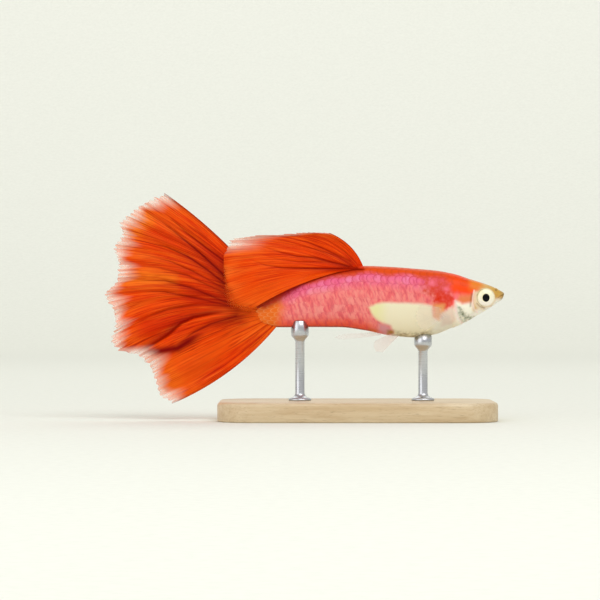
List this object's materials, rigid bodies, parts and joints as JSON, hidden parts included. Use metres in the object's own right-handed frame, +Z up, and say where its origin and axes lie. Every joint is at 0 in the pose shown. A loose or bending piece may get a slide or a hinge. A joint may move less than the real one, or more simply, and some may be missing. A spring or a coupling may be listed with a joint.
{
  "type": "fancy guppy, life-size display model on a stand",
  "caption": "Life-size male fancy guppy with a fan tail and draped dorsal fin, on a small display stand.",
  "frame": {"origin": "centre of the footprint of the whole model, on the surface that the stand's base rests on", "axes": "+X from the tail to the snout along the body, +Z up, +Y to the fish's left side"},
  "size_m": [0.052, 0.022, 0.0296],
  "materials": {
    "skin": "satin",
    "fin": "satin",
    "clear_fin": "satin",
    "eye": "gloss",
    "base": "satin",
    "rod": "satin"
  },
  "bodies": {
    "root": {"head": "skin", "lower_jaw": "skin", "trunk": "skin", "tail_stalk": "skin", "gill_cover_left": "skin", "gill_cover_right": "skin", "eye_left": "eye", "eye_right": "eye", "tail_fin": "fin", "dorsal_fin": "fin", "gonopodium": "clear_fin", "pectoral_fin_left": "clear_fin", "pectoral_fin_right": "clear_fin", "pelvic_fin_left": "clear_fin", "pelvic_fin_right": "clear_fin", "stand_base": "base", "stand_rod_front": "rod", "stand_rod_rear": "rod"}
  },
  "joints": []
}
